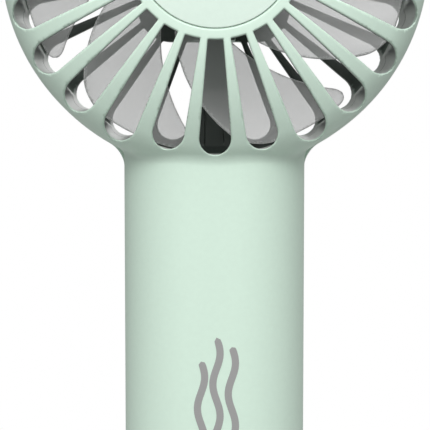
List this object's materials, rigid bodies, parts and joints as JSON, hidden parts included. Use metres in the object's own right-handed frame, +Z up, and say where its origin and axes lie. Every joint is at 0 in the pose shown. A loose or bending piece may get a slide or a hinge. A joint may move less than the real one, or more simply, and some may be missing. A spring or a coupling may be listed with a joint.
{
  "type": "handheld electric fan",
  "caption": "Slim handheld rechargeable fan: round domed grille head with radial slots, translucent swept-blade impeller and a straight oval handle.",
  "frame": {"origin": "centre of the foot face at the bottom of the handle, on the parting plane", "axes": "+Z up along the handle, -Y out of the front grille, X across"},
  "size_m": [0.09, 0.042, 0.2],
  "materials": {
    "shell_green": "satin",
    "cap_pale": "satin",
    "dark_rubber": "matt",
    "plug_rubber": "matt",
    "smoke_plastic": "translucent smoke grey",
    "zinc_screw": "zinc plated",
    "motor_steel": "ground",
    "magnet": "matt",
    "bush_brass": "turned",
    "nylon": "matt",
    "motor_alloy": "cast",
    "board_green": "solder mask",
    "core_steel": "stacked sheets",
    "copper_winding": "enamelled copper wire",
    "wire_red": "satin",
    "cell_blue": "printed sleeve",
    "foam": "foam",
    "nickel": "bright",
    "chip_black": "matt",
    "capacitor_tan": "satin",
    "clear_lens": "clear"
  },
  "bodies": {
    "root": {"front_shell": "shell_green", "rear_shell": "shell_green", "front_cap": "cap_pale", "rear_cap": "shell_green", "base_cap": "shell_green", "base_pad": "dark_rubber", "shell_screws": "zinc_screw", "screw_plugs": "plug_rubber", "motor_base": "motor_alloy", "motor_pcb": "board_green", "stator_core": "core_steel", "stator_windings": "copper_winding", "front_bearing": "motor_steel", "rear_bearing": "motor_steel", "motor_screws": "zinc_screw", "motor_wires": "wire_red", "wire_cover": "shell_green", "battery_cell": "cell_blue", "battery_tray": "nylon", "battery_pads": "foam", "battery_tabs": "nickel", "main_pcb": "board_green", "pcb_chips": "chip_black", "boost_inductor": "chip_black", "capacitors": "capacitor_tan", "pcb_screws": "zinc_screw", "tact_switch": "chip_black", "button_bezel": "shell_green", "indicator_lens": "clear_lens", "indicator_leds": "capacitor_tan", "usb_shell": "nickel", "usb_tongue": "chip_black"},
    "rotor": {"impeller": "smoke_plastic", "rotor_can": "motor_steel", "magnet_ring": "magnet", "motor_shaft": "motor_steel", "rotor_bush": "bush_brass", "thrust_washer": "nylon", "shaft_clip": "motor_steel"},
    "button": {"power_button": "cap_pale", "switch_plunger": "chip_black"}
  },
  "joints": [
    {"name": "rotor_spin", "type": "hinge", "parent": "root", "child": "rotor", "pos_m": [0, 0, 0.155], "axis": [0, -1, 0], "continuous": true},
    {"name": "button_press", "type": "slide", "parent": "root", "child": "button", "axis": [0, -1, 0], "range_m": [0, 0.0005], "stiffness_N_per_m": 1500}
  ]
}
